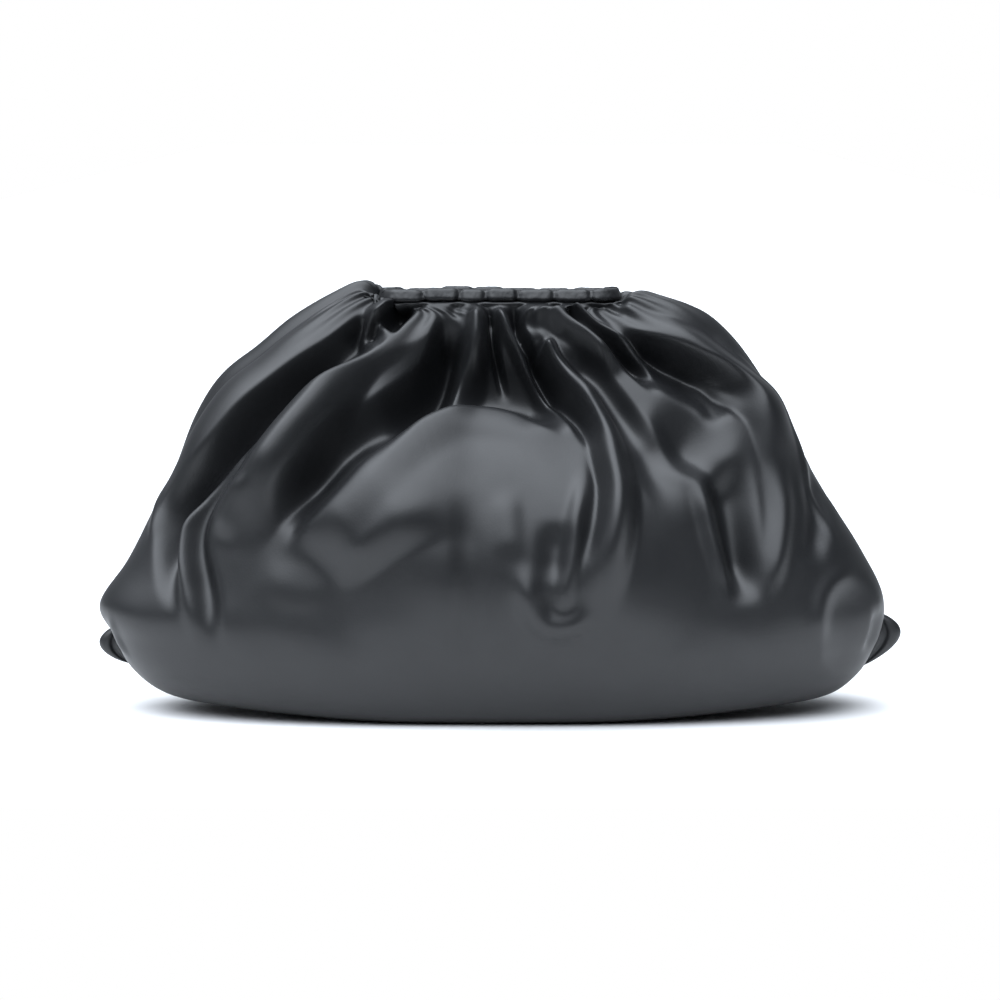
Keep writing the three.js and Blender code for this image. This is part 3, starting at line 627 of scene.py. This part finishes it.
def mesh_object(name: str, points: np.ndarray, faces: list[tuple[int, ...]]) -> Object:
    """A smooth-shaded mesh object at the origin.

    Args:
        name: the object's name.
        points: its points, in metres.
        faces: point numbers of each face, anticlockwise from outside.

    Returns:
        The object, linked to the scene.
    """
    mesh = bpy.data.meshes.new(name)
    mesh.from_pydata(np.asarray(points).tolist(), [], faces)
    mesh.polygons.foreach_set("use_smooth", [True] * len(mesh.polygons))
    mesh.update()
    return new_object(name, mesh)


def add_node(tree: NodeTree, kind: str, inputs: dict | None = None, **settings: object) -> Node:
    """Adds a node to a tree.

    Args:
        tree: the tree.
        kind: the node's type.
        inputs: values or sockets for the inputs, by name or number.
        settings: the node's own properties.

    Returns:
        The node.
    """
    node = tree.nodes.new(kind)
    for key, setting in settings.items():
        setattr(node, key, setting)
    for key, value in (inputs or {}).items():
        if isinstance(value, NodeSocket):
            tree.links.new(value, node.inputs[key])
        else:
            node.inputs[key].default_value = value
    return node


def new_material(name: str, inputs: dict[str, object]) -> Material:
    """A material of one shader, with constants on its inputs by name."""
    material = bpy.data.materials.new(name)
    material.use_nodes = True
    shader = material.node_tree.nodes["Principled BSDF"]
    for key, value in inputs.items():
        shader.inputs[key].default_value = value
    return material


@dataclass
class GeometryGraph:
    """A Geometry Nodes tree made in script, with named inputs, that ends in one material."""

    name: str

    def __post_init__(self) -> None:
        """Makes the empty tree with a geometry input and output."""
        self.tree = bpy.data.node_groups.new(self.name, "GeometryNodeTree")
        self.tree.interface.new_socket("Geometry", in_out="INPUT", socket_type="NodeSocketGeometry")
        self.tree.interface.new_socket("Geometry", in_out="OUTPUT", socket_type="NodeSocketGeometry")
        self.start = self.tree.nodes.new("NodeGroupInput")
        self.values: dict[str, object] = {}

    def value(self, name: str, kind: str, value: object) -> NodeSocket:
        """Adds a named input.

        Args:
            name: the input's name.
            kind: the socket's type, such as Float, Int, Object or Material.
            value: what the input is set to when the tree is applied.

        Returns:
            The socket that carries the value into the tree.
        """
        item = self.tree.interface.new_socket(name, in_out="INPUT", socket_type=f"NodeSocket{kind}")
        self.values[item.identifier] = value
        return self.start.outputs[name]

    def node(self, kind: str, inputs: dict | None = None, **settings: object) -> Node:
        """Adds a node, with its settings and with values or sockets on its inputs."""
        return add_node(self.tree, kind, inputs, **settings)

    def math(self, operation: str, first: object, second: object = 0.0) -> NodeSocket:
        """Adds a sum, product or the like of two numbers."""
        return self.node("ShaderNodeMath", {0: first, 1: second}, operation=operation).outputs[0]

    def finish(self, geometry: NodeSocket, material: NodeSocket) -> None:
        """Ends the tree: real geometry, one material, then the output."""
        real = self.node("GeometryNodeRealizeInstances", {0: geometry})
        coated = self.node("GeometryNodeSetMaterial", {"Geometry": real.outputs[0], "Material": material})
        self.node("NodeGroupOutput", {0: coated.outputs[0]})

    def apply(self, source: Object, name: str) -> Object:
        """Runs the tree on an object.

        Args:
            source: the object that the tree starts from, which is removed afterwards.
            name: the name of the result.

        Returns:
            A plain mesh object at the origin.
        """
        modifier = source.modifiers.new(self.name, "NODES")
        modifier.node_group = self.tree
        for identifier, value in self.values.items():
            modifier[identifier] = value
        depsgraph = bpy.context.evaluated_depsgraph_get()
        mesh = bpy.data.meshes.new_from_object(source.evaluated_get(depsgraph), depsgraph=depsgraph)
        mesh.name = name
        source.modifiers.remove(modifier)
        bpy.data.objects.remove(source)
        return new_object(name, mesh)


@dataclass
class RuchedCasing:
    """The leather channel along one side of the mouth, gathered into small puffed blocks.

    Its foot and its crown are as wide as these shares of its depth, and the foot stands further out, so
    that its outer face leans back. The blocks are moved up or down by shares of the lift.
    """

    name: str
    node: str
    side: Side
    gathers: tuple[float, ...]
    seed: int
    stations: int = 420
    crease: float = 1.8 * MM
    pinch: float = 0.29
    lift: float = 0.7 * MM
    lowest: float = -1.0
    highest: float = 0.35
    pucker: float = 0.7 * MM
    pucker_scale: float = 260.0
    pucker_detail: float = 2.0
    corner: float = 1.8 * MM
    corner_pieces: int = 5
    profile_points: int = 44
    bend_points: int = 14
    straight_points: int = 60
    foot: float = 1.08
    crown: float = 0.92
    foot_shift: float = 1.6 * MM

    def _rail(self) -> Object:
        """The middle line of the channel: the straight side of the loop and half of each bend."""
        straight = MOUTH_REACH - CASING_OFFSET - CASING_DEPTH / 2
        end_gap = GAP / CASING_OFFSET
        bend = np.linspace(end_gap, np.pi / 2, self.bend_points)
        right = [(straight + CASING_OFFSET * math.cos(a), CASING_OFFSET * math.sin(a)) for a in bend]
        left = [(-x, y) for x, y in reversed(right)]
        along = np.linspace(straight, -straight, self.straight_points)
        middle = [(x, CASING_OFFSET) for x in along[1:-1]]
        places = right + middle + left
        height = BODY_HEIGHT - CASING_HEIGHT / 2
        curve = bpy.data.curves.new(f"{self.name}_rail", "CURVE")
        curve.dimensions = "3D"
        spline = curve.splines.new("POLY")
        spline.points.add(len(places) - 1)
        for point, (x, y) in zip(spline.points, places):
            point.co = (x, self.side.value * y, height, 1)
        return new_object(curve.name, curve)

    def _gather_points(self) -> Object:
        """A loose point at each gather."""
        places = [(share * MOUTH_REACH, self.side.value * CASING_OFFSET, BODY_HEIGHT - CASING_HEIGHT / 2)
                  for share in self.gathers]
        return mesh_object(f"{self.name}_gathers", np.array(places), [])

    def build(self, material: Material) -> Object:
        """The channel as a closed mesh, a rounded profile along the rail that narrows at each gather.

        Args:
            material: the casing's leather.

        Returns:
            The mesh object.
        """
        points = self._gather_points()
        graph = GeometryGraph(f"{self.name}_graph")
        gathers = graph.value("Gathers", "Object", points)
        sizes = (("Depth", CASING_DEPTH), ("Height", CASING_HEIGHT), ("Crease", self.crease),
                 ("Pinch", self.pinch), ("Lift", self.lift), ("Pucker", self.pucker),
                 ("Corner", self.corner), ("Foot", self.foot), ("Crown", self.crown),
                 ("Foot shift", self.side.value * self.foot_shift))
        depth, height, crease, pinch, lift, pucker, corner, foot, crown, foot_shift = (
            graph.value(name, "Float", size) for name, size in sizes)
        stations = graph.value("Stations", "Int", self.stations)
        seed = graph.value("Seed", "Int", self.seed)
        coat = graph.value("Material", "Material", material)

        rail = graph.node("GeometryNodeResampleCurve", {"Curve": graph.start.outputs[0], "Count": stations})
        marks = graph.node("GeometryNodeObjectInfo", {"Object": gathers}).outputs["Geometry"]
        place = graph.node("GeometryNodeInputPosition")
        near = graph.node("GeometryNodeProximity", {0: marks}, target_element="POINTS")
        away = graph.math("DIVIDE", near.outputs["Distance"], crease)
        fall = graph.math("EXPONENT", graph.math("MULTIPLY", graph.math("MULTIPLY", away, away), -1.0))
        nearest = graph.node("GeometryNodeSampleNearest", {"Geometry": marks}, domain="POINT")
        here = graph.node("ShaderNodeSeparateXYZ", {0: place.outputs[0]})
        there = graph.node("ShaderNodeSeparateXYZ", {0: near.outputs["Position"]})
        past = graph.math("GREATER_THAN", here.outputs["X"], there.outputs["X"])
        block = graph.math("ADD", nearest.outputs["Index"], past)
        height_change = graph.node("FunctionNodeRandomValue",
                                   {"Seed": seed, "ID": block, 2: self.lowest, 3: self.highest},
                                   data_type="FLOAT")
        up = graph.math("MULTIPLY", height_change.outputs[1], lift)
        shift = graph.node("ShaderNodeCombineXYZ", {"Z": up}).outputs[0]
        moved = graph.node("GeometryNodeSetPosition", {"Geometry": rail.outputs[0], "Offset": shift})
        level = graph.node("GeometryNodeSetCurveNormal", {"Curve": moved.outputs[0]})
        # The profile lies upside down on the rail, so its top edge is the foot
        box = graph.node("GeometryNodeCurvePrimitiveQuadrilateral",
                         {"Height": height, "Bottom Width": graph.math("MULTIPLY", depth, crown),
                          "Top Width": graph.math("MULTIPLY", depth, foot), "Offset": foot_shift},
                         mode="TRAPEZOID")
        rounded = graph.node("GeometryNodeFilletCurve",
                             {"Curve": box.outputs[0], "Radius": corner, "Count": self.corner_pieces},
                             mode="POLY")
        profile = graph.node("GeometryNodeResampleCurve",
                             {"Curve": rounded.outputs[0], "Count": self.profile_points})
        size = graph.math("SUBTRACT", 1.0, graph.math("MULTIPLY", fall, pinch))
        tube = graph.node("GeometryNodeCurveToMesh",
                          {"Curve": level.outputs[0], "Profile Curve": profile.outputs[0], "Scale": size,
                           "Fill Caps": True})
        noise = graph.node("ShaderNodeTexNoise", {"Scale": self.pucker_scale, "Detail": self.pucker_detail})
        amount = graph.math("MULTIPLY", graph.math("SUBTRACT", noise.outputs["Fac"], 0.5), pucker)
        normal = graph.node("GeometryNodeInputNormal")
        push = graph.node("ShaderNodeVectorMath", {0: normal.outputs[0], "Scale": amount}, operation="SCALE")
        puckered = graph.node("GeometryNodeSetPosition",
                              {"Geometry": tube.outputs[0], "Offset": push.outputs[0]})
        smooth = graph.node("GeometryNodeSetShadeSmooth", {"Geometry": puckered.outputs[0]})
        graph.finish(smooth.outputs[0], coat)
        obj = graph.apply(self._rail(), self.name)
        bpy.data.objects.remove(points)
        return obj


@dataclass
class CornerEar:
    """The folded corner that sticks out of the seam low on one side.

    End is -1 on the left and 1 on the right. Root and tip are distances from the bag's middle, low and
    high are heights, and tip share is how far up between them the tip is. The powers round its outline,
    its sides and its thickness.
    """

    name: str
    node: str
    end: int
    root: float
    tip: float
    low: float
    high: float
    tip_share: float
    thickness: float = 11 * MM
    least_reach: float = 0.05
    root_share: float = 0.55
    outline_power: float = 0.55
    side_power: float = 0.8
    thin_power: float = 0.6
    crease_place: float = 0.66
    crease_width: float = 0.07
    crease_depth: float = 1.6 * MM
    levels: int = 60
    sides: int = 72

    def build(self) -> Object:
        """The ear as a closed mesh object."""
        share = np.linspace(0, 1, self.levels)
        turn = np.linspace(0, 2 * np.pi, self.sides, endpoint=False)
        skew = math.log(0.5) / math.log(self.tip_share)
        bow = np.maximum(np.sin(np.pi * share ** skew), 0) ** self.outline_power
        full = self.least_reach + (1 - self.least_reach) * bow
        out = (1 - np.cos(turn)) / 2
        round_side = np.sign(np.sin(turn)) * np.abs(np.sin(turn)) ** self.side_power
        belly = round_side * (self.root_share + (1 - self.root_share) * out)
        wide = self.thickness * 0.5 * full[:, None] ** self.thin_power * belly[None, :]
        crease = np.exp(-((out - self.crease_place) / self.crease_width) ** 2) * (np.sin(turn) > 0)
        x = self.root + (self.tip - self.root) * full[:, None] * out[None, :]
        y = -wide + self.crease_depth * crease[None, :] * full[:, None]
        z = np.broadcast_to((self.low + (self.high - self.low) * share)[:, None], x.shape)
        points = np.stack([self.end * x, y, z], axis=-1)
        faces = [(r * self.sides + k, r * self.sides + (k + 1) % self.sides,
                  (r + 1) * self.sides + (k + 1) % self.sides, (r + 1) * self.sides + k)
                 for r in range(self.levels - 1) for k in range(self.sides)]
        top = (self.levels - 1) * self.sides
        faces += [tuple(range(self.sides - 1, -1, -1)), tuple(range(top, top + self.sides))]
        if self.end < 0:
            faces = [tuple(reversed(face)) for face in faces]
        return mesh_object(self.name, points.reshape(-1, 3), faces)


@dataclass(frozen=True)
class LeatherFinish:
    """Smooth soft leather: a near-black tone with faint mottling, fine grain and a low sheen."""

    name: str
    tone: Colour = (0.0048, 0.0052, 0.0060)
    pale_tone: Colour = (0.0085, 0.0090, 0.0102)
    mottle_size: float = 40 * MM
    specular: float = 0.5
    roughness: tuple[float, float] = (0.40, 0.50)
    patch_size: float = 14 * MM
    crease_size: float = 9 * MM
    crease_height: float = 0.12 * MM
    crease_strength: float = 0.6
    grain_size: float = 0.9 * MM
    grain_height: float = 0.05 * MM
    grain_strength: float = 0.5

    def material(self) -> Material:
        """The finish as a material on Object coordinates."""
        material = new_material(self.name, {"Specular IOR Level": self.specular})
        tree = material.node_tree
        shader = tree.nodes["Principled BSDF"]
        place = add_node(tree, "ShaderNodeTexCoord").outputs["Object"]
        tone = add_node(tree, "ShaderNodeMix",
                        {"Factor": self._noise(tree, place, self.mottle_size, detail=3),
                         "A": (*self.tone, 1), "B": (*self.pale_tone, 1)}, data_type="RGBA")
        rough = add_node(tree, "ShaderNodeMapRange",
                         {"Value": self._noise(tree, place, self.patch_size, detail=4),
                          "To Min": self.roughness[0], "To Max": self.roughness[1]})
        creases = add_node(tree, "ShaderNodeBump",
                           {"Height": self._noise(tree, place, self.crease_size, detail=5),
                            "Distance": self.crease_height, "Strength": self.crease_strength})
        cells = add_node(tree, "ShaderNodeTexVoronoi",
                         {"Vector": place, "Scale": 1 / self.grain_size, "Randomness": 1.0},
                         feature="SMOOTH_F1")
        grain = add_node(tree, "ShaderNodeBump",
                         {"Height": cells.outputs["Distance"], "Distance": self.grain_height,
                          "Strength": self.grain_strength, "Normal": creases.outputs["Normal"]})
        tree.links.new(tone.outputs["Result"], shader.inputs["Base Color"])
        tree.links.new(rough.outputs["Result"], shader.inputs["Roughness"])
        tree.links.new(grain.outputs["Normal"], shader.inputs["Normal"])
        return material

    @staticmethod
    def _noise(tree: NodeTree, place: NodeSocket, size: float, detail: float) -> NodeSocket:
        """Soft noise with spots of the given size."""
        return add_node(tree, "ShaderNodeTexNoise",
                        {"Vector": place, "Scale": 1 / size, "Detail": detail}).outputs["Fac"]


@dataclass(frozen=True)
class Glow:
    """A soft patch of light in the sky.

    Start and full are the cosines of the angles from its middle at which it begins and at which it has its
    full strength.
    """

    towards: tuple[float, float, float]
    start: float
    full: float
    strength: float


GLOWS = (
    Glow((-0.14, -0.50, 1.0), start=0.64, full=0.92, strength=4.8),
    Glow((0.0, 1.0, 0.25), start=0.2, full=1.0, strength=0.4),
    Glow((-0.68, -0.10, 0.75), start=0.84, full=0.98, strength=2.4),
    Glow((-0.10, 0.32, 0.94), start=0.86, full=0.98, strength=2.4),
)


@dataclass
class Studio:
    """The pale floor, the soft light above it and the camera in front of the bag."""

    camera_distance: float = 2.0
    camera_elevation: float = math.radians(6)
    metres_per_pixel: float = 0.4887 * MM
    image_side: int = 1000
    aim_height: float = 103 * MM
    floor_side: float = 30.0
    floor_near: float = 0.27
    floor_reach: float = 1.2
    floor_tone: Colour = (0.92, 0.92, 0.92)
    floor_roughness: float = 0.9
    floor_specular: float = 0.1
    room_light: float = 0.07
    light_tone: Colour = (0.87, 0.925, 1.0)
    sensor_width: float = 36.0

    def build(self) -> None:
        """Makes the floor, the sky and the camera."""
        self._floor()
        self._sky()
        self._camera()

    def _floor(self) -> None:
        """A plain white floor, from a little in front of the bag to far behind it."""
        far, near, reach = self.floor_side / 2, -self.floor_near, self.floor_reach
        corners = np.array([(-reach, near, 0), (reach, near, 0), (reach, far, 0), (-reach, far, 0)])
        floor = mesh_object("floor", corners, [(0, 1, 2, 3)])
        floor.data.materials.append(new_material("floor_white", {
            "Base Color": (*self.floor_tone, 1), "Roughness": self.floor_roughness,
            "Specular IOR Level": self.floor_specular}))

    def _sky(self) -> None:
        """The light: soft glows in a dim room, and plain white where the camera sees past the floor."""
        world = bpy.data.worlds.new("studio")
        bpy.context.scene.world = world
        world.use_nodes = True
        tree = world.node_tree
        tree.nodes.clear()
        place = add_node(tree, "ShaderNodeTexCoord").outputs["Generated"]
        total = self.room_light
        for glow in GLOWS:
            middle = Vector(glow.towards).normalized()
            facing = add_node(tree, "ShaderNodeVectorMath", {0: place, 1: middle}, operation="DOT_PRODUCT")
            ramp = add_node(tree, "ShaderNodeMapRange",
                            {"Value": facing.outputs["Value"], "From Min": glow.start,
                             "From Max": glow.full, "To Max": glow.strength},
                            interpolation_type="SMOOTHSTEP")
            total = add_node(tree, "ShaderNodeMath", {0: total, 1: ramp.outputs["Result"]}).outputs["Value"]
        light = add_node(tree, "ShaderNodeBackground", {"Color": (*self.light_tone, 1), "Strength": total})
        backdrop = add_node(tree, "ShaderNodeBackground", {"Color": (1, 1, 1, 1)})
        seen = add_node(tree, "ShaderNodeLightPath")
        mix = add_node(tree, "ShaderNodeMixShader",
                       {"Fac": seen.outputs["Is Camera Ray"], 1: light.outputs["Background"],
                        2: backdrop.outputs["Background"]})
        add_node(tree, "ShaderNodeOutputWorld", {"Surface": mix.outputs["Shader"]})
        bpy.context.scene.view_settings.view_transform = "Standard"

    def _camera(self) -> None:
        """A long lens a few degrees above the bag's front."""
        data = bpy.data.cameras.new("camera")
        data.sensor_width = self.sensor_width
        data.lens = data.sensor_width * self.camera_distance / (self.image_side * self.metres_per_pixel)
        camera = new_object("camera", data)
        away = Vector((0, -math.cos(self.camera_elevation), math.sin(self.camera_elevation)))
        camera.location = Vector((0, 0, self.aim_height)) + away * self.camera_distance
        camera.rotation_euler = (-away).to_track_quat("-Z", "Y").to_euler()
        bpy.context.scene.camera = camera


@dataclass(frozen=True)
class SteelFinish:
    """Plain bright steel for the hidden frame of the mouth."""

    name: str
    tone: Colour = (0.55, 0.56, 0.58)
    roughness: float = 0.3

    def coat(self, obj: Object) -> None:
        """Gives an object this finish alone."""
        obj.data.materials.clear()
        obj.data.materials.append(new_material(self.name, {
            "Base Color": (*self.tone, 1), "Metallic": 1.0, "Roughness": self.roughness}))


def dress(obj: Object, node: str) -> None:
    """Fixes a piece to the bag in place of one of its plain solids.

    Args:
        obj: the piece.
        node: the node of the frame that it replaces.
    """
    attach(obj, BODY)
    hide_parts(node)
    log.info("%s: %d faces", obj.name, len(obj.data.polygons))


def main() -> None:
    """Builds the bag and its studio."""
    logging.basicConfig(level=logging.INFO, format="%(name)s: %(message)s")
    Studio().build()
    form = PouchForm()
    body_leather = LeatherFinish("body_leather").material()
    panels = (
        LeatherPanel("front_leather", "front_panel", Side.FRONT, FRONT_FOLDS,
                     PanelGrid(columns=120, rows=70), FRONT_GATHERS),
        LeatherPanel("back_leather", "back_panel", Side.BACK, BACK_FOLDS,
                     PanelGrid(columns=100, rows=60), BACK_GATHERS),
    )
    for panel in panels:
        obj = panel.build(form)
        obj.data.materials.append(body_leather)
        dress(obj, panel.node)
    casing_leather = LeatherFinish("casing_leather", crease_size=4 * MM).material()
    casings = (
        RuchedCasing("front_ruched_casing", "front_casing", Side.FRONT, FRONT_GATHERS, seed=4),
        RuchedCasing("back_ruched_casing", "back_casing", Side.BACK, BACK_GATHERS, seed=9),
    )
    for casing in casings:
        dress(casing.build(casing_leather), casing.node)
    ears = (
        CornerEar("left_ear_leather", "left_corner_ear", end=-1, root=176 * MM, tip=196.5 * MM,
                  low=22 * MM, high=44 * MM, tip_share=0.5),
        CornerEar("right_ear_leather", "right_corner_ear", end=1, root=173 * MM, tip=196.5 * MM,
                  low=20 * MM, high=50 * MM, tip_share=0.6),
    )
    for ear in ears:
        obj = ear.build()
        obj.data.materials.append(body_leather)
        dress(obj, ear.node)
    closing_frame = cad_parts["closing_frame"]
    SteelFinish("frame_steel").coat(closing_frame)
    log.info("%s: %d faces", closing_frame.name, len(closing_frame.data.polygons))


if __name__ == "__main__":
    main()
